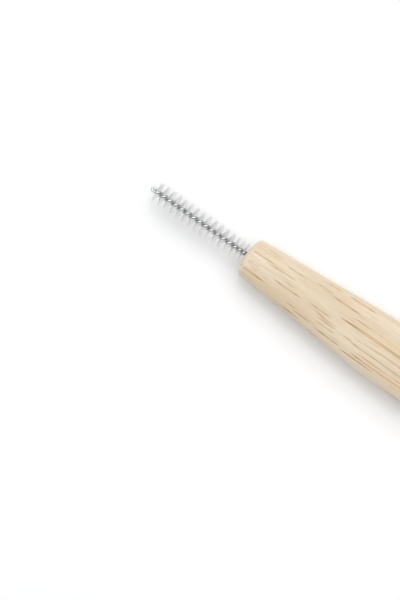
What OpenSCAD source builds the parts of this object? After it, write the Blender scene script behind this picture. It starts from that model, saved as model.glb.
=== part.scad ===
// Interdental brush: a turned bamboo handle with a twisted-in-wire brush glued into its nose.
// The brush lies on its side. X runs from the brush's tip (-X) to the handle's tail (+X),
// the surface it lies on is Z = 0, and the origin is under the middle of its length.

/* [Handle] */
// Length of the handle, from the nose to the tail
handle_l = 84; // [60:0.5:110]
// Diameter of the straight grip
grip_d = 6.6; // [5.8:0.1:8]
// Diameter that the taper has at the nose
nose_d = 4.1; // [3.4:0.1:4.8]
// Length from the nose to where the taper's side meets the grip's
taper_l = 16.4; // [12:0.1:24]
// Radius of the blend between the taper and the grip
shoulder_r = 50; // [20:5:100]
// Radius of the shallow dome on the nose
nose_dome_r = 4.3; // [3:0.1:8]
// Radius of the nose's rounded rim
nose_rim_r = 0.45; // [0.2:0.05:0.8]
// Radius of the dome on the tail
tail_dome_r = 8; // [5:0.5:20]
// Radius of the tail's rounded rim
tail_rim_r = 1.5; // [0.5:0.1:2.4]

/* [Wire stem] */
// Diameter of the wire
wire_d = 0.25; // [0.18:0.01:0.32]
// Free length of the twisted stem, from its tip to the handle's nose
stem_l = 11.5; // [9:0.1:16]
// Length of the twisted stem that is set into the handle
wire_set_l = 12; // [8:0.25:16]
// Length of one turn of the twist
twist_lead = 1.46; // [1.3:0.01:2.4]
// Length of one turn where the twist tightens, next to the handle
tight_lead = 1.04; // [1.04:0.01:1.3]
// Length of the stretch where the twist is tighter
tight_l = 1.3; // [0.5:0.1:3]
// Length over which the twist starts, behind the eye at the tip
ease_l = 0.4; // [0.2:0.05:0.8]

/* [Bristles] */
// Diameter over the bristles' ends
brush_d = 2.3; // [1.6:0.05:4]
// Gap between the wire's two legs, which pinches the layer of bristles
layer_gap = 0.06; // [0.05:0.005:0.1]
// Width of a bristle at its free end
bristle_tip_w = 0.04; // [0.02:0.005:0.05]
// Length of the stem at its tip that has no bristles
bare_tip_l = 0.6; // [0.5:0.05:2]
// Length of the stem at the handle that has no bristles
bare_root_l = 0.12; // [0.1:0.01:1]
// Distance from the tip to the first row of bristles that lies level
first_row_l = 0.78; // [0.7:0.01:1.5]

/* [Glue] */
// Thickness of the glue round the stem
glue_t = 0.3; // [0.1:0.01:0.4]
// Thickness of the glue under the stem's end
glue_floor_t = 0.5; // [0.2:0.05:1]
// Depth of the glue's face below the bore's mouth
glue_recess = 0.2; // [0.15:0.05:0.8]
// Angle across the drill point at the bore's bottom
drill_point_deg = 118; // [90:1:135]

/* [Hidden] */
// Clearance of the glue from the stem and from the bore
glue_slack = 0.02;
// Clearance of the bristle layer from each leg of the wire
layer_slack = 0.01;
// Gap between two slices of the bristle layer
slice_gap = 0.02;
// Half the width of the strip that joins a slice's bristles
strip_half_w = 0.05;
// Slices of the bristle layer, of about one turn of the twist each
slice_count = 8;
// Bristles side by side in a slice, each with two free ends
slice_bristles = 24;
// Rings of the wire's tube to a turn of the twist, its sides, and rings round the eye
turn_rings = 10;
wire_sides = 6;
eye_rings = 8;
// Turn of the handle about its axis, which puts the seam of its round side level with the axis, off the surface
seam_deg = 270;
// Steps along the arcs of the handle's outline
dome_steps = 8;
rim_steps = 5;
shoulder_steps = 6;

overall_l = stem_l + handle_l;
taper_deg = atan((grip_d - nose_d) / 2 / taper_l);
// Distance of each leg's centreline from the stem's axis
leg_r = (wire_d + layer_gap) / 2;
stem_d = 2 * leg_r + wire_d;
wire_end = stem_l + wire_set_l;
bore_d = stem_d + 2 * (glue_t + 2 * glue_slack);
bore_l = wire_set_l + glue_floor_t + 2 * glue_slack;
drill_point_l = bore_d / 2 / tan(drill_point_deg / 2);
// Distance from the tip to the centre of the eye's bend
eye_s = stem_d / 2;
slice_l = (stem_l - bare_tip_l - bare_root_l) / slice_count;
cell_l = (slice_l - slice_gap) / slice_bristles;
strip_half_t = layer_gap / 2 - layer_slack;

$fn = 64;

// In what follows, s is the distance behind the brush's tip, along the axis.

function unit(v) = v / norm(v);

function flip(faces) = [for (f = faces) [f[0], f[2], f[1]]];

// Two triangles of a quad whose corners run counter-clockwise, seen from outside
function quad(a, b, c, d) = [[a, b, c], [a, c, d]];

// Turns of the twist from the eye to s: none in the eye, then easing in, with more to the length near the handle
function eased(u) = u <= 0 ? 0 : u < ease_l ? u * u / (2 * ease_l) : u - ease_l / 2;
function tight_part(s) = min(max(s - (stem_l - tight_l), 0), tight_l);
function turns(s) = eased(s - eye_s) / twist_lead + tight_part(s) * (1 / tight_lead - 1 / twist_lead);

// Direction across the layer of bristles at s. It turns left-handed, and is level at the first row.
function layer_deg(s) = 90 - 360 * (turns(s) - turns(first_row_l));

function across(deg) = [cos(deg), sin(deg), 0];

// Lays the part down from the upright frame, in which Z is s
module lay_down() {
    translate([-overall_l / 2, 0, grip_d / 2])
        rotate([0, 90, 0])
            children();
}

// Outline of a domed end whose rim is rounded into a side that widens by slope degrees.
// The points are [radius, depth behind the dome's top], from the axis to the side.
function domed_end(side_r, slope, dome_r, rim_r) =
    let (
        grow = tan(slope),
        inner_r = side_r - rim_r / cos(slope),
        a = 1 + grow * grow,
        b = 2 * (inner_r * grow - dome_r),
        c = inner_r * inner_r + dome_r * dome_r - (dome_r - rim_r) * (dome_r - rim_r),
        depth = (-b - sqrt(b * b - 4 * a * c)) / (2 * a),
        r = inner_r + depth * grow,
        from = atan2(r, dome_r - depth),
        to = 90 - slope
    )
    concat(
        [
            for (i = [0 : dome_steps - 1])
                let (deg = from * i / dome_steps)
                [dome_r * sin(deg), dome_r * (1 - cos(deg))]
        ],
        [
            for (i = [0 : rim_steps])
                let (deg = from + (to - from) * i / rim_steps)
                [r + rim_r * sin(deg), depth - rim_r * cos(deg)]
        ]
    );

// Outline of the blend that turns the taper's side into the grip's, as [radius, s]
function shoulder() =
    let (start = stem_l + taper_l - shoulder_r * tan(taper_deg / 2) * cos(taper_deg))
    [
        for (i = [0 : shoulder_steps])
            let (deg = taper_deg * (1 - i / shoulder_steps))
            [
                grip_d / 2 - shoulder_r * (1 - cos(deg)),
                start + shoulder_r * (sin(taper_deg) - sin(deg))
            ]
    ];

// Outline of the handle, from the nose's top along the side to the tail's, as [radius, s]
function handle_outline() =
    let (
        nose = domed_end(nose_d / 2, taper_deg, nose_dome_r, nose_rim_r),
        tail = domed_end(grip_d / 2, 0, tail_dome_r, tail_rim_r)
    )
    concat(
        [for (p = nose) [p[0], stem_l + p[1]]],
        shoulder(),
        [for (i = [len(tail) - 1 : -1 : 0]) [tail[i][0], overall_l - tail[i][1]]]
    );

module handle() {
    color("burlywood") lay_down() rotate([0, 0, seam_deg]) difference() {
        rotate_extrude() polygon(handle_outline());
        rotate_extrude() polygon([
            [0, 0],
            [bore_d / 2, 0],
            [bore_d / 2, stem_l + bore_l],
            [0, stem_l + bore_l + drill_point_l]
        ]);
    }
}

// Places along the stem where the wire's tube has a ring, from its end in the handle to the eye
leg_rings = ceil(turn_rings * turns(wire_end));
leg_s = [for (i = [0 : leg_rings]) wire_end + (eye_s - wire_end) * i / leg_rings];

// Centreline of the wire: in along one leg, round the eye and back along the other.
// Each point comes with the direction that faces away from the other leg.
eye_out = across(layer_deg(eye_s) + 90);
wire_path = concat(
    [for (s = leg_s) let (out = across(layer_deg(s) + 90)) [leg_r * out + [0, 0, s], out]],
    [
        for (i = [1 : eye_rings - 1])
            let (deg = 180 * i / eye_rings, out = cos(deg) * eye_out - [0, 0, sin(deg)])
            [leg_r * out + [0, 0, eye_s], out]
    ],
    [
        for (i = [leg_rings : -1 : 0])
            let (s = leg_s[i], out = across(layer_deg(s) - 90))
            [leg_r * out + [0, 0, s], out]
    ]
);

// Ring of points round a path at one of its points, square to the path there
function ring(path, i, r, sides) =
    let (
        along = unit(path[min(i + 1, len(path) - 1)][0] - path[max(i - 1, 0)][0]),
        side = unit(cross(along, path[i][1])),
        out = cross(side, along)
    )
    [for (k = [0 : sides - 1]) path[i][0] + r * (cos(360 * k / sides) * out + sin(360 * k / sides) * side)];

module tube(path, r, sides) {
    last = len(path) - 1;
    points = [for (i = [0 : last]) each ring(path, i, r, sides)];
    walls = [
        for (i = [0 : last - 1], k = [0 : sides - 1])
            let (a = i * sides, b = a + sides, next = (k + 1) % sides)
            each quad(a + k, a + next, b + next, b + k)
    ];
    first_cap = [for (k = [1 : sides - 2]) [0, k + 1, k]];
    end = last * sides;
    last_cap = [for (k = [1 : sides - 2]) [end, end + k, end + k + 1]];
    polyhedron(points, flip(concat(walls, first_cap, last_cap)));
}

module wire_core() {
    color("silver") lay_down() tube(wire_path, wire_d / 2, wire_sides);
}

module glue_sleeve() {
    hole_r = stem_d / 2 + glue_slack;
    color("khaki") lay_down() rotate_extrude() polygon([
        [hole_r, stem_l + glue_recess],
        [hole_r + glue_t, stem_l + glue_recess],
        [hole_r + glue_t, wire_end + glue_slack + glue_floor_t],
        [0, wire_end + glue_slack + glue_floor_t],
        [0, wire_end + glue_slack],
        [hole_r, wire_end + glue_slack]
    ]);
}

// Section of the strip that joins a slice's bristles, at s. Its short edges face the bristles.
function strip_ring(s) =
    let (
        out = across(layer_deg(s)) * strip_half_w,
        up = across(layer_deg(s) + 90) * strip_half_t
    )
    [for (p = [out + up, out - up, -out - up, -out + up]) p + [0, 0, s]];

// Free end of a bristle that points to one side, +1 or -1, in the order of the strip's edge it grows from
function bristle_end(s, side) =
    let (
        out = side * across(layer_deg(s)) * brush_d / 2,
        up = across(layer_deg(s) + 90) * bristle_tip_w / 2,
        on = [0, 0, bristle_tip_w / 2]
    )
    [for (p = [-side * up - on, side * up - on, side * up + on, -side * up + on]) out + p + [0, 0, s]];

// One slice of the layer: a twisted strip with a bristle grown from each cell of its two short edges
module bristle_slice(index) {
    from = bare_tip_l + (index - 1) * slice_l + slice_gap / 2;
    rings = [for (j = [0 : slice_bristles]) each strip_ring(from + j * cell_l)];
    ends = [
        for (j = [0 : slice_bristles - 1], side = [1, -1])
            each bristle_end(from + (j + 1 / 2) * cell_l, side)
    ];
    first_end = len(rings);
    strip = [
        for (j = [0 : slice_bristles - 1])
            let (a = 4 * j, b = a + 4)
            each concat(quad(a + 3, b + 3, b, a), quad(a + 2, a + 1, b + 1, b + 2))
    ];
    bristles = [
        for (j = [0 : slice_bristles - 1], side = [0, 1])
            let (
                a = 4 * j,
                b = a + 4,
                base = side == 0 ? [a + 1, a, b, b + 1] : [a + 3, a + 2, b + 2, b + 3],
                tip = first_end + 8 * j + 4 * side
            )
            each concat(
                quad(tip, tip + 1, tip + 2, tip + 3),
                [for (k = [0 : 3]) let (n = (k + 1) % 4) each quad(base[k], base[n], tip + n, tip + k)]
            )
    ];
    last = 4 * slice_bristles;
    caps = concat(quad(2, 3, 0, 1), quad(last + 2, last + 1, last, last + 3));
    color("whitesmoke") lay_down()
        polyhedron(concat(rings, ends), flip(concat(strip, bristles, caps)));
}

// Least gap between the wire's two legs, from each ring of one to the rings of the other within half a turn
leg_gap = min([
    for (i = [0 : leg_rings], k = [max(0, i - turn_rings / 2) : min(leg_rings, i + turn_rings / 2)])
        norm(wire_path[i][0] - wire_path[len(wire_path) - 1 - k][0]) - wire_d
]);
echo(least_gap_between_the_legs = leg_gap);
echo(bristle_ends = 2 * slice_bristles * slice_count);

handle();
wire_core();
glue_sleeve();
for (i = [1 : slice_count])
    bristle_slice(i);
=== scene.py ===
"""Interdental brush with a turned bamboo handle, seen from above on a pale floor in soft studio light."""

import math
import random

import bpy
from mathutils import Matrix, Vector


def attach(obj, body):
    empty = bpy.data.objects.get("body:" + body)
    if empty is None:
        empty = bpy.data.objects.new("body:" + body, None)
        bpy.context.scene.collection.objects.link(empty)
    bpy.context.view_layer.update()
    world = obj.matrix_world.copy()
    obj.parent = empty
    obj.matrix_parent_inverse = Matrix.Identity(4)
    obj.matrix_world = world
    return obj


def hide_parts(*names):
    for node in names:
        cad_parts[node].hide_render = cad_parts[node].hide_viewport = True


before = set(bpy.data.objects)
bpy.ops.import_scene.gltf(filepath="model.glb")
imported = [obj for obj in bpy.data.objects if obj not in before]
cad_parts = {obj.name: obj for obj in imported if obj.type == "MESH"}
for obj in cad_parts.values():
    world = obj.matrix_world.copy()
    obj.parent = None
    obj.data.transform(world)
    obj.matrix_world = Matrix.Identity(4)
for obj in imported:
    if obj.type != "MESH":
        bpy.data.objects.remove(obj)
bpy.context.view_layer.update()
MM = 0.001

# The handle's sizes in mm, the same as in the CAD source.
HANDLE_L = 84.0
GRIP_D = 6.6
NOSE_D = 4.1
TAPER_L = 16.4
SHOULDER_R = 50.0
NOSE_DOME_R = 4.3
NOSE_RIM_R = 0.45
TAIL_DOME_R = 8.0
TAIL_RIM_R = 1.5
DRILL_POINT_DEG = 118.0

# The wire's, the bristles' and the glue's sizes in mm, also the same. A lead is the length of a turn.
WIRE_D = 0.25
STEM_L = 11.5
WIRE_SET_L = 12.0
TWIST_LEAD = 1.46
TIGHT_LEAD = 1.04
TIGHT_L = 1.3
EASE_L = 0.4
BRUSH_D = 2.3
LAYER_GAP = 0.06
BARE_TIP_L = 0.6
BARE_ROOT_L = 0.12
FIRST_ROW_L = 0.78
SLICES = 8
GLUE_T = 0.3
GLUE_FLOOR_T = 0.5
GLUE_SLACK = 0.02

# What follows from them. A place s is the distance behind the brush's tip, along the axis.
OVERALL_L = STEM_L + HANDLE_L
TAPER = math.atan((GRIP_D - NOSE_D) / 2 / TAPER_L)
LEG_R = (WIRE_D + LAYER_GAP) / 2
STEM_D = 2 * LEG_R + WIRE_D
WIRE_END = STEM_L + WIRE_SET_L
BORE_D = STEM_D + 2 * (GLUE_T + 2 * GLUE_SLACK)
BORE_L = WIRE_SET_L + GLUE_FLOOR_T + 2 * GLUE_SLACK
EYE_S = STEM_D / 2
SLICE_L = (STEM_L - BARE_TIP_L - BARE_ROOT_L) / SLICES
AXIS_Z = GRIP_D / 2
AXIS = Vector((1, 0, 0))

# How finely the visual pieces are cut, and the share of the CAD radius that keeps them inside its box.
HANDLE_SIDES, HANDLE_FIT = 128, 0.9975
TAPER_STEPS, SHOULDER_STEPS, GRIP_STEPS = 8, 12, 24
WIRE_SIDES, WIRE_FIT = 16, 0.995
TURN_STEPS, EYE_STEPS = 30, 20
# The broken edge of the bore's mouth.
MOUTH_EDGE = 0.03
# An edge that turns more than this is drawn sharp.
HANDLE_SHARP_DEG, THIN_SHARP_DEG = 32, 60

# The filaments of each slice. Their free ends reach to a share of the brush's radius.
FILAMENTS, FILAMENT_SIDES, FILAMENT_STEPS = 36, 6, 8
FILAMENT_R, FILAMENT_END_R = 0.025, 0.018
REACH_LEAST, REACH_MOST = 0.93, 0.985
# How they stray: along the wire in spacings, round it in radians, at a free end and from step to step in mm.
STRAY_SPACING, STRAY_ANGLE, STRAY_END, STRAY_STEP = 0.25, 0.02, 0.02, 0.002
SEED = 100

# A fibre bundle is taller than wide, by 1 / TALL, and its size differs by these shares.
TALL = 0.5
SIZE_LEAST, SIZE_MOST = 0.7, 1.3
# The strongest fibre bundles in the upper side: distance behind the nose, distance across, radius.
STRANDS = [
    (0.9, -1.25, 0.10), (1.4, 0.70, 0.07), (4.0, 0.60, 0.06), (4.9, 1.37, 0.05), (5.4, -0.52, 0.08),
    (8.2, 1.67, 0.05), (9.5, -0.40, 0.06), (11.3, 1.50, 0.09), (11.0, -1.50, 0.06), (12.4, 2.50, 0.10),
    (15.0, 0.22, 0.14), (11.9, -2.20, 0.08), (15.4, -1.30, 0.07), (16.8, -2.20, 0.09),
]
# How deep the axis of a strong bundle stays under the straight grip.
STRAND_DEPTH = 0.02

# The studio, in mm and watts. The floor runs out into white between two distances from the object.
FLOOR_REACH = 3000.0
WHITE_FROM, WHITE_TO = 110.0, 330.0
LAMP_AT = (-140.0, 185.0, 600.0)
LAMPS = (("softbox", 820.0, 5.05), ("softbox_core", 140.0, 0.4))
FILL_LIGHT = 0.21
WHITE = (1, 1, 1, 1)

# The camera looks straight down. The nose shows this far right of the picture's middle and above it, in mm.
CAMERA_H = 300.0
CAMERA_TURN = math.radians(35)
NOSE_RIGHT, NOSE_UP = 4.55, 4.6185
SENSOR_W, LENS = 36, 180


# Geometry

def turns(s):
    """Turns of the twist from the eye to s. It eases in behind the eye and tightens before the nose."""
    u = s - EYE_S
    if u <= 0:
        eased = 0
    elif u < EASE_L:
        eased = u * u / (2 * EASE_L)
    else:
        eased = u - EASE_L / 2
    tight = min(max(s - (STEM_L - TIGHT_L), 0), TIGHT_L)
    return eased / TWIST_LEAD + tight * (1 / TIGHT_LEAD - 1 / TWIST_LEAD)


def layer_angle(s):
    """Angle at which the pinched layer of bristles stands at s. It falls with s, for a left-handed twist."""
    return math.pi / 2 - 2 * math.pi * (turns(s) - turns(FIRST_ROW_L))


def across(angle):
    """Unit vector square to the axis, at that angle from straight down."""
    return Vector((0, math.sin(angle), -math.cos(angle)))


def spot(v, s):
    """The point at v from the axis and s behind the tip, in mm."""
    return Vector((s - OVERALL_L / 2 + v.x, v.y, v.z + AXIS_Z))


def circle(centre, right, up, radius, sides):
    """Points round a centre, from right towards up, in metres."""
    angles = [2 * math.pi * k / sides for k in range(sides)]
    return [(centre + (right * math.cos(t) + up * math.sin(t)) * radius) * MM for t in angles]


def skin(first, circles, sides):
    """Faces round a row of circles and over its two flat ends. The points are numbered from first."""
    faces = []
    last = first + (circles - 1) * sides
    for a in range(first, last, sides):
        b = a + sides
        for k in range(sides):
            n = (k + 1) % sides
            faces.append((a + k, a + n, b + n, b + k))
    faces.append(tuple(reversed(range(first, first + sides))))
    faces.append(tuple(range(last, last + sides)))
    return faces


def new_object(name, verts, faces, sharp_deg=None):
    """Object from points in metres. Given an angle, it is smooth apart from edges that turn more."""
    mesh = bpy.data.meshes.new(name)
    mesh.from_pydata([tuple(v) for v in verts], [], faces)
    mesh.update()
    if sharp_deg is not None:
        mesh.shade_smooth()
        mesh.set_sharp_from_angle(angle=math.radians(sharp_deg))
    obj = bpy.data.objects.new(name, mesh)
    bpy.context.scene.collection.objects.link(obj)
    return obj


def between(start, end, steps):
    """The points that cut a straight line into equal steps, without its ends."""
    shares = [i / steps for i in range(1, steps)]
    return [tuple(a + (b - a) * k for a, b in zip(start, end)) for k in shares]


def domed_end(side_r, slope, dome_r, rim_r, dome_steps, rim_steps):
    """(depth, radius) from the middle of a domed end, over its rounded rim, to a side with that slope."""
    grow = math.tan(slope)
    inner = side_r - rim_r / math.cos(slope)
    # the rim's centre lies rim_r inside the side, and dome_r - rim_r from the centre of the dome
    a = 1 + grow * grow
    b = 2 * (inner * grow - dome_r)
    c = inner * inner + dome_r * dome_r - (dome_r - rim_r) ** 2
    depth = (-b - math.sqrt(b * b - 4 * a * c)) / (2 * a)
    r = inner + depth * grow
    start = math.atan2(r, dome_r - depth)
    end = math.pi / 2 - slope
    dome = [start * i / dome_steps for i in range(dome_steps)]
    rim = [start + (end - start) * i / rim_steps for i in range(rim_steps + 1)]
    points = [(dome_r * (1 - math.cos(t)), dome_r * math.sin(t)) for t in dome]
    return points + [(depth - rim_r * math.cos(t), r + rim_r * math.sin(t)) for t in rim]


def shoulder():
    """(s, radius) along the blend from the taper into the straight grip."""
    start = STEM_L + TAPER_L - SHOULDER_R * math.tan(TAPER / 2) * math.cos(TAPER)
    points = []
    for i in range(SHOULDER_STEPS + 1):
        t = TAPER * (1 - i / SHOULDER_STEPS)
        s = start + SHOULDER_R * (math.sin(TAPER) - math.sin(t))
        points.append((s, GRIP_D / 2 - SHOULDER_R * (1 - math.cos(t))))
    return points


def handle_profile():
    """(s, radius) from the bore's point, out of its mouth, over the nose and along the side to the tail."""
    bore_r = BORE_D / 2
    point = bore_r / math.tan(math.radians(DRILL_POINT_DEG / 2))
    mouth = NOSE_DOME_R - math.sqrt(NOSE_DOME_R**2 - bore_r**2)
    front = [(BORE_L + point, 0), (BORE_L, bore_r), (mouth + MOUTH_EDGE, bore_r)]
    nose = domed_end(NOSE_D / 2, TAPER, NOSE_DOME_R, NOSE_RIM_R, dome_steps=24, rim_steps=10)
    front += [(depth, r) for depth, r in nose if r > bore_r + MOUTH_EDGE]
    front = [(STEM_L + depth, r) for depth, r in front]
    blend = shoulder()
    tail = domed_end(GRIP_D / 2, 0, TAIL_DOME_R, TAIL_RIM_R, dome_steps=16, rim_steps=12)
    back = [(OVERALL_L - depth, r) for depth, r in reversed(tail)]
    taper = between(front[-1], blend[0], TAPER_STEPS)
    grip = between(blend[-1], back[0], GRIP_STEPS)
    return front + taper + blend + grip + back


def lathe(name, profile, sides, sharp_deg, fit):
    """Closed body of revolution of a profile that starts and ends on the axis, with its radii times fit."""
    verts, rings = [], []
    for s, r in profile:
        count = sides if r > 0 else 1
        rings.append(range(len(verts), len(verts) + count))
        verts += circle(spot(Vector(), s), across(0), across(math.pi / 2), r * fit, count)
    faces = []
    for a, b in zip(rings[:-1], rings[1:]):
        for k in range(sides):
            n = (k + 1) % sides
            if len(a) == 1:
                faces.append((a[0], b[n], b[k]))
            elif len(b) == 1:
                faces.append((a[n], b[0], a[k]))
            else:
                faces.append((a[n], b[n], b[k], a[k]))
    return new_object(name, verts, faces, sharp_deg)


def tube(name, path, radius, sides):
    """Tube with flat ends round a path of (centre, direction square to it) in mm."""
    verts = []
    last = len(path) - 1
    for i, (centre, out) in enumerate(path):
        along = (path[min(i + 1, last)][0] - path[max(i - 1, 0)][0]).normalized()
        side = along.cross(out).normalized()
        verts += circle(centre, side.cross(along), side, radius, sides)
    return new_object(name, verts, skin(0, len(path), sides), THIN_SHARP_DEG)


def wire_path():
    """The wire's path, in along one leg, round the eye at the tip and back along the other leg."""
    steps = math.ceil(TURN_STEPS * turns(WIRE_END))
    leg = [WIRE_END + (EYE_S - WIRE_END) * i / steps for i in range(steps + 1)]
    quarter = math.pi / 2

    def on_leg(s, side):
        out = across(layer_angle(s) + side * quarter)
        return spot(out * LEG_R, s), out

    eye = []
    eye_out = across(layer_angle(EYE_S) + quarter)
    for i in range(1, EYE_STEPS):
        t = math.pi * i / EYE_STEPS
        out = eye_out * math.cos(t) - AXIS * math.sin(t)
        eye.append((spot(out * LEG_R, EYE_S), out))
    return [on_leg(s, 1) for s in leg] + eye + [on_leg(s, -1) for s in reversed(leg)]


def filament(s, rng):
    """Points of one filament that the wire pinches at s, from one free end to the other."""
    angle = layer_angle(s) + rng.gauss(0, STRAY_ANGLE)
    out, up = across(angle), across(angle + math.pi / 2)
    lean = [rng.gauss(0, STRAY_END) for _ in range(2)]
    sag = [rng.gauss(0, STRAY_END) for _ in range(2)]
    reach = [BRUSH_D / 2 * rng.uniform(REACH_LEAST, REACH_MOST) for _ in range(2)]
    points = []
    for i in range(FILAMENT_STEPS + 1):
        k = 2 * i / FILAMENT_STEPS - 1
        end = 0 if k < 0 else 1
        d = abs(k)
        along = lean[end] * d * d + rng.uniform(-STRAY_STEP, STRAY_STEP)
        centre = spot(out * (k * reach[end]) + AXIS * along + up * sag[end] * d * d, s)
        radius = FILAMENT_R + (FILAMENT_END_R - FILAMENT_R) * d
        points += circle(centre, up, AXIS, radius, FILAMENT_SIDES)
    return points


def bristles(index, rng):
    """One slice of the pinched layer: filaments between the wire's legs, each with two free ends."""
    start = BARE_TIP_L + (index - 1) * SLICE_L
    verts, faces = [], []
    for j in range(FILAMENTS):
        stray = rng.uniform(-STRAY_SPACING, STRAY_SPACING)
        faces += skin(len(verts), FILAMENT_STEPS + 1, FILAMENT_SIDES)
        verts += filament(start + (j + 0.5 + stray) / FILAMENTS * SLICE_L, rng)
    return new_object(f"bristles_{index}", verts, faces, THIN_SHARP_DEG)


# Materials

class Nodes:
    """Short names for building the node tree of a material or a world."""

    def __init__(self, owner):
        owner.use_nodes = True
        self.tree = owner.node_tree

    def put(self, node, inputs):
        """Links or sets inputs of a node, which are given by name or number."""
        for key, value in inputs.items():
            if isinstance(value, bpy.types.NodeSocket):
                self.tree.links.new(value, node.inputs[key])
            else:
                node.inputs[key].default_value = value

    def put_on(self, name, inputs):
        """The same for a node that the tree starts with."""
        self.put(self.tree.nodes[name], inputs)

    def add(self, kind, inputs, **settings):
        """A new node. Its settings come first, because they decide which inputs it has."""
        node = self.tree.nodes.new(kind)
        for key, value in settings.items():
            setattr(node, key, value)
        self.put(node, inputs)
        return node

    def math(self, operation, a, b):
        return self.add("ShaderNodeMath", {0: a, 1: b}, operation=operation).outputs[0]

    def times(self, first, *others):
        """The product of two or more values."""
        for other in others:
            first = self.math("MULTIPLY", first, other)
        return first

    def ramp(self, value, low, high, to_low=0.0, to_high=1.0, kind="SMOOTHSTEP"):
        """Maps low..high to to_low..to_high, clamped."""
        inputs = {0: value, 1: low, 2: high, 3: to_low, 4: to_high}
        return self.add("ShaderNodeMapRange", inputs, interpolation_type=kind).outputs[0]

    def mix(self, share, a, b):
        """Colour a with a share of colour b."""
        return self.add("ShaderNodeMix", {0: share, 6: a, 7: b}, data_type="RGBA").outputs[2]

    def place(self, along=1.0, square=1.0, offset=(0, 0, 0)):
        """Object coordinates in mm, scaled along the axis and square to it."""
        at = self.add("ShaderNodeTexCoord", {}).outputs["Object"]
        scale = (along / MM, square / MM, square / MM)
        return self.add("ShaderNodeMapping", {"Vector": at, "Scale": scale, "Location": offset}).outputs[0]

    def xyz(self):
        """Object coordinates in mm, one by one."""
        return self.add("ShaderNodeSeparateXYZ", {0: self.place()}).outputs

    def grain(self, along, square, detail=2.0, rough=0.5, offset=(0, 0, 0)):
        """Noise with that many swings to a mm, along the axis and square to it."""
        at = self.place(along, square, offset)
        inputs = {"Vector": at, "Scale": 1.0, "Detail": detail, "Roughness": rough}
        return self.add("ShaderNodeTexNoise", inputs).outputs["Fac"]

    def shown(self):
        """1 for rays that show a thing to the camera: straight, mirrored or through clear nylon."""
        path = self.add("ShaderNodeLightPath", {}).outputs
        seen = self.math("MAXIMUM", path["Is Camera Ray"], path["Is Glossy Ray"])
        return self.math("MAXIMUM", seen, path["Is Transmission Ray"])


def srgb(r, g, b):
    """Linear colour with alpha, of an sRGB colour in 0 to 255."""
    def channel(c):
        c /= 255
        return c / 12.92 if c <= 0.04045 else ((c + 0.055) / 1.055) ** 2.4
    return (channel(r), channel(g), channel(b), 1.0)


def ground_tissue_with_painted_side_light(n, y, fibre, coarse):
    """Colour of the wood between its bundles: pale, with soft tones that are drawn out along the stick, and
    with painted shade at its upper side and painted light at its lower one.
    """
    patches = n.grain(0.09, 0.5, detail=3.0, rough=0.55)
    warm = n.grain(0.05, 0.32, offset=(7.3, 2.1, 4.4))
    lines = n.grain(0.055, 4.2, detail=1.0, offset=(9.7, 1.3, 6.2))
    colour = n.mix(n.ramp(patches, 0.3, 0.7), srgb(221, 206, 182), srgb(233, 221, 202))
    # each tone: where it shows, from which value to which, its greatest share, its colour
    tones = [
        (warm, 0.40, 0.75, 0.40, srgb(220, 198, 161)),
        (coarse, 0.45, 0.75, 0.30, srgb(208, 186, 152)),
        (fibre, 0.45, 0.80, 0.35, srgb(200, 176, 142)),
        (lines, 0.60, 0.74, 0.45, srgb(224, 195, 146)),
        (lines, 0.36, 0.26, 0.50, srgb(186, 153, 116)),
        # painted shade and light: duller at the side of the stick that lies up in the picture, and paler at
        # the lower one
        (y, 0.8, 2.2, 0.25, srgb(206, 184, 162)),
        (y, -1.2, -3.2, 0.40, srgb(242, 224, 204)),
    ]
    for where, low, high, share, tone in tones:
        colour = n.mix(n.ramp(where, low, high, 0.0, share), colour, tone)
    return colour


def drifted(n, at, spacing, wander, period, offset):
    """The place in the cross-section, in spacings, with a slow drift along the stick."""
    ways = []
    for k, (way, squeeze) in enumerate(((at[1], 1.0), (at[2], TALL))):
        drift = n.grain(1 / period, 0.22, rough=0.45, offset=(offset + 5.3 * k, 2.7 * k, offset))
        drift = n.times(n.math("SUBTRACT", drift, 0.5), wander / spacing)
        ways.append(n.math("ADD", n.times(way, squeeze / spacing), drift))
    return n.add("ShaderNodeCombineXYZ", {"X": ways[0], "Y": ways[1]}).outputs[0]


def core_and_sheath(n, far, core_r, sheath_w):
    """The golden core of a bundle and the dark sheath round it, from the distance to its middle."""
    core = n.ramp(far, core_r, core_r * 0.6)
    outer = n.ramp(far, core_r + sheath_w, core_r + sheath_w * 0.4)
    inner = n.ramp(far, core_r * 0.7, core_r * 1.05)
    return core, n.times(outer, inner)


def bundles(n, at, spacing, wander, period, offset, core_r, sheath_w):
    """Bundles of many sizes along the stick, which its surface cuts: (core, sheath, pick, fade).

    pick is a number of 0 to 1 for each bundle, and fade a noise for fading bundles out along the stick.
    """
    section = drifted(n, at, spacing, wander, period, offset)
    cell = n.add("ShaderNodeTexVoronoi", {"Vector": section, "Scale": 1.0, "Randomness": 0.9},
                 feature="F1", voronoi_dimensions="2D").outputs
    chance = n.add("ShaderNodeSeparateColor", {0: cell["Color"]}).outputs
    size = n.ramp(chance[0], 0.0, 1.0, SIZE_LEAST, SIZE_MOST, kind="LINEAR")
    far = n.math("DIVIDE", n.times(cell["Distance"], spacing), size)
    core, sheath = core_and_sheath(n, far, core_r, sheath_w)
    fade = n.grain(0.35, 1.3, offset=(offset * 2, 0, 0))
    return core, sheath, chance[1], fade


def strong_strands(n, at):
    """Distance to the nearest of the strongest bundles, in radii of that bundle."""
    section = drifted(n, at, spacing=1.0, wander=0.12, period=9.0, offset=3.0)
    ways = []
    for s, y, radius in STRANDS:
        r = min(NOSE_D / 2 + s * math.tan(TAPER), GRIP_D / 2 - STRAND_DEPTH)
        middle = (y, (AXIS_Z + math.sqrt(r * r - y * y)) * TALL, 0)
        gap = n.add("ShaderNodeVectorMath", {0: section, 1: middle}, operation="DISTANCE").outputs["Value"]
        ways.append(n.math("DIVIDE", gap, radius))
    nearest = ways[0]
    for way in ways[1:]:
        nearest = n.math("MINIMUM", nearest, way)
    return nearest


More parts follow.
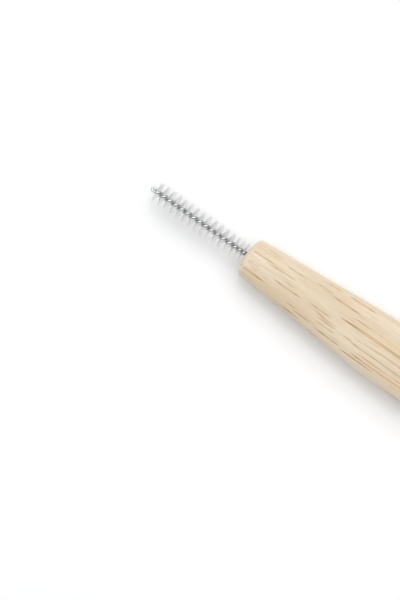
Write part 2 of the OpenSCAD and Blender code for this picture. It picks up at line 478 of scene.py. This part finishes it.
def bamboo():
    """Wood whose bundles the taper cuts to long thin streaks, each with a golden core and a dark sheath."""
    material = bpy.data.materials.new("bamboo")
    n = Nodes(material)
    at = n.xyz()
    fibre = n.grain(0.10, 6.0, detail=3.0, rough=0.6)
    coarse = n.grain(0.05, 2.2, detail=3.0, rough=0.6, offset=(3.1, 0, 0))
    colour = ground_tissue_with_painted_side_light(n, at[1], fibre, coarse)

    # a few wide bundles everywhere
    core, sheath, pick, fade = bundles(n, at, spacing=0.66, wander=0.9, period=18.0, offset=11.0,
                                       core_r=0.04, sheath_w=0.045)
    few = n.times(n.ramp(pick, 0.35, 0.45), n.ramp(fade, 0.36, 0.5))
    colour = n.mix(n.times(core, few, 0.8), colour, srgb(226, 194, 134))
    colour = n.mix(n.times(sheath, few, 0.65), colour, srgb(176, 136, 86))

    # thin bundles, few at the upper side and many at the lower one
    thin_core, thin_sheath, pick, fade = bundles(n, at, spacing=0.36, wander=0.6, period=22.0, offset=31.0,
                                                 core_r=0.03, sheath_w=0.045)
    lower = n.ramp(at[1], 2.5, -3.2)
    many = n.times(n.ramp(pick, 0.3, 0.4), n.ramp(lower, 0.3, 0.95, 0.25, 1.0), n.ramp(fade, 0.4, 0.55))
    thin = n.math("MAXIMUM", thin_core, thin_sheath)
    colour = n.mix(n.times(thin, many, 0.9), colour, srgb(190, 148, 94))

    # the strongest bundles of the upper side, at their places in the photograph
    strong_core, strong_sheath = core_and_sheath(n, strong_strands(n, at), 0.5, 0.5)
    colour = n.mix(n.times(strong_core, 0.8), colour, srgb(228, 196, 136))
    colour = n.mix(n.times(strong_sheath, 0.75), colour, srgb(170, 128, 76))

    height = n.math("ADD", n.times(fibre, 0.5), n.times(sheath, -0.35))
    height = n.math("ADD", height, n.times(coarse, 0.25))
    bump = n.add("ShaderNodeBump", {"Strength": 0.35, "Distance": 0.02 * MM, "Height": height})
    n.put_on("Principled BSDF", {
        "Base Color": colour,
        "Roughness": n.ramp(fibre, 0.2, 0.8, 0.50, 0.68),
        "Specular IOR Level": 0.32,
        "Diffuse Roughness": 0.8,
        "Normal": bump.outputs[0],
    })
    return material


def steel():
    """Bright drawn steel with a slight change of tone."""
    material = bpy.data.materials.new("drawn_steel")
    n = Nodes(material)
    tone = n.grain(2.0, 6.0)
    n.put_on("Principled BSDF", {
        "Base Color": n.mix(tone, srgb(156, 157, 160), srgb(182, 183, 186)),
        "Metallic": 1.0,
        "Roughness": n.ramp(tone, 0.3, 0.7, 0.09, 0.15),
    })
    return material


def nylon():
    """Clear nylon in thin filaments, which look nearly white."""
    material = bpy.data.materials.new("clear_nylon")
    n = Nodes(material)
    tone = n.grain(1.5, 1.5, detail=1.0)
    n.put_on("Principled BSDF", {
        "Base Color": n.mix(tone, srgb(235, 236, 236), srgb(245, 245, 244)),
        "Roughness": 0.24,
        "IOR": 1.53,
        "Transmission Weight": 0.16,
    })
    return material


def cured_glue():
    """Cured glue, a little milky."""
    material = bpy.data.materials.new("cured_glue")
    n = Nodes(material)
    tone = n.grain(1.2, 1.2)
    n.put_on("Principled BSDF", {
        "Base Color": n.mix(tone, srgb(222, 205, 165), srgb(233, 220, 188)),
        "Roughness": n.ramp(tone, 0.3, 0.7, 0.15, 0.3),
        "Subsurface Weight": 0.2,
        "Subsurface Scale": 0.2 * MM,
    })
    return material


def white_floor():
    """A pale floor that runs out into the white of the room, away from the object."""
    material = bpy.data.materials.new("white_floor")
    n = Nodes(material)
    tone = n.grain(0.02, 0.02, detail=1.0)
    n.put_on("Principled BSDF", {
        "Base Color": n.mix(tone, (0.934, 0.938, 0.945, 1), (0.939, 0.943, 0.950, 1)),
        "Roughness": 0.9,
        "Specular IOR Level": 0.1,
    })
    away = n.add("ShaderNodeVectorMath", {0: n.place()}, operation="LENGTH").outputs["Value"]
    share = n.times(n.ramp(away, WHITE_FROM, WHITE_TO), n.shown())
    plain = n.tree.nodes["Principled BSDF"].outputs[0]
    glow = n.add("ShaderNodeEmission", {"Color": WHITE, "Strength": 1.0}).outputs[0]
    both = n.add("ShaderNodeMixShader", {0: share, 1: plain, 2: glow}).outputs[0]
    n.put_on("Material Output", {"Surface": both})
    return material


def paint(obj, material):
    """Gives an object its material."""
    obj.data.materials.clear()
    obj.data.materials.append(material)


# The object

wood, wire, clear, glue = bamboo(), steel(), nylon(), cured_glue()

handle_body = lathe("handle_body", handle_profile(), HANDLE_SIDES, HANDLE_SHARP_DEG, HANDLE_FIT)
paint(handle_body, wood)
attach(handle_body, "root")
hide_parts("handle")

wire_stem = tube("wire_stem", wire_path(), WIRE_D / 2 * WIRE_FIT, WIRE_SIDES)
paint(wire_stem, wire)
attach(wire_stem, "root")
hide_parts("wire_core")

for index in range(1, SLICES + 1):
    tuft = bristles(index, random.Random(SEED + index))
    paint(tuft, clear)
    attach(tuft, "root")
    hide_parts(f"bristle_turn_{index}")

paint(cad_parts["glue_sleeve"], glue)


# Floor, light and camera

reach = FLOOR_REACH * MM
floor_corners = [(-reach, -reach, 0), (reach, -reach, 0), (reach, reach, 0), (-reach, reach, 0)]
floor = new_object("floor", floor_corners, [(0, 1, 2, 3)])
floor.data.materials.append(white_floor())


def hang(name, data, location):
    """Puts a lamp or a camera into the scene, at a place in mm."""
    obj = bpy.data.objects.new(name, data)
    obj.location = Vector(location) * MM
    bpy.context.scene.collection.objects.link(obj)
    return obj


# one large softbox, with a smaller lamp at its middle that draws the crisper shadow of the bristles
for name, side, power in LAMPS:
    lamp = bpy.data.lights.new(name, "AREA")
    lamp.shape = "SQUARE"
    lamp.size = side * MM
    lamp.energy = power
    hang(name, lamp, LAMP_AT)

# the room: white where a ray shows it, and a weaker fill light for the rest
world = bpy.data.worlds.new("studio")
room = Nodes(world)
strength = room.ramp(room.shown(), 0.0, 1.0, FILL_LIGHT, 1.0, kind="LINEAR")
room.put_on("Background", {"Color": WHITE, "Strength": strength})
bpy.context.scene.world = world

camera = bpy.data.cameras.new("camera")
camera.sensor_width = SENSOR_W
camera.lens = LENS
camera.clip_start, camera.clip_end = 0.01, 10
right = Vector((math.cos(CAMERA_TURN), math.sin(CAMERA_TURN), 0))
up = Vector((-math.sin(CAMERA_TURN), math.cos(CAMERA_TURN), 0))
nose = spot(Vector(), STEM_L)
eye = hang("camera", camera, nose - right * NOSE_RIGHT - up * NOSE_UP + Vector((0, 0, CAMERA_H)))
eye.rotation_euler = (0, 0, CAMERA_TURN)
bpy.context.scene.camera = eye

bpy.context.scene.view_settings.view_transform = "Standard"
